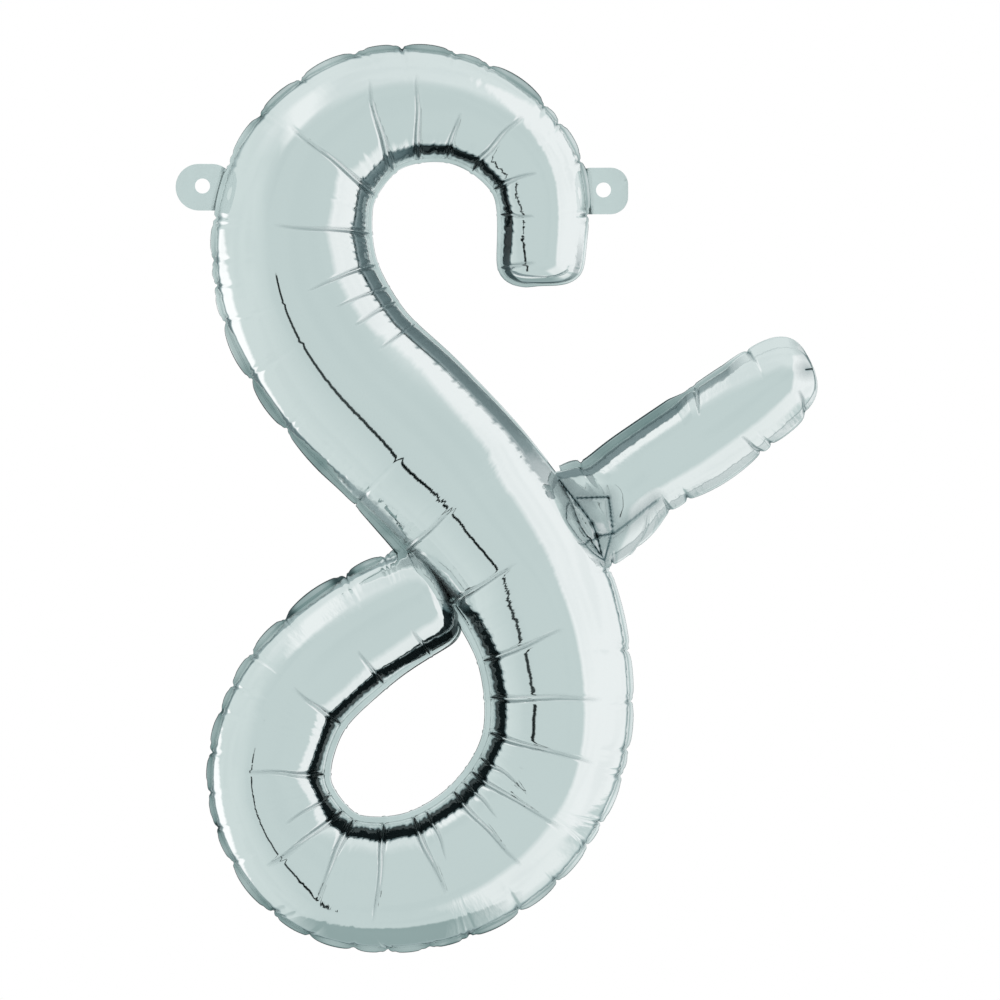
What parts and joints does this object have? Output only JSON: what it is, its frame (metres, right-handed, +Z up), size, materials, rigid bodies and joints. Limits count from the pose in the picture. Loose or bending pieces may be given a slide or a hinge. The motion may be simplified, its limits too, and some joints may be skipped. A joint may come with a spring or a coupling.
{
  "type": "letter foil balloon",
  "caption": "Silver foil balloon shaped as a script letter with a blown-up stroke, a tail on a creased neck, punched hanging tabs and a fill tongue behind its lowest edge.",
  "frame": {"origin": "midway between the two punched tab holes, in the plane of the sealed seam", "axes": "+Z up along the hanging letter, -Y out of its front face, +X towards the tail"},
  "size_m": [0.2592, 0.0594, 0.3639],
  "materials": {
    "silver_foil": "mirror-bright metallised film",
    "tail_foil": "mirror-bright metallised film",
    "tab_film": "satin laminated film",
    "valve_film": "gloss film"
  },
  "bodies": {
    "envelope": {"front_foil": "silver_foil", "back_foil": "silver_foil"},
    "tail": {"tail_front_foil": "tail_foil", "tail_back_foil": "tail_foil"},
    "hang_tab_left": {"tab_left": "tab_film"},
    "hang_tab_right": {"tab_right": "tab_film"},
    "fill_flap": {"fill_tongue": "silver_foil", "valve_film": "valve_film"}
  },
  "joints": [
    {"name": "tail_neck_fold", "type": "hinge", "parent": "envelope", "child": "tail", "pos_m": [0.0739, 0, -0.1301], "axis": [0.44, 0, -0.898], "range_deg": [-12, 12], "stiffness_Nm_per_rad": 0.02},
    {"name": "tab_left_fold", "type": "hinge", "parent": "envelope", "child": "hang_tab_left", "pos_m": [-0.07457, 0, -0.00072], "axis": [0.2501, 0, 0.9682], "range_deg": [-75, 75], "stiffness_Nm_per_rad": 0.0005},
    {"name": "tab_right_fold", "type": "hinge", "parent": "envelope", "child": "hang_tab_right", "pos_m": [0.07512, 0, -0.00152], "axis": [-0.08, 0, 0.9968], "range_deg": [-75, 75], "stiffness_Nm_per_rad": 0.0005},
    {"name": "fill_tongue_fold", "type": "hinge", "parent": "envelope", "child": "fill_flap", "pos_m": [-0.002, 0.0018, -0.3044], "axis": [1, 0, 0], "range_deg": [-106, 5], "stiffness_Nm_per_rad": 0.001}
  ]
}
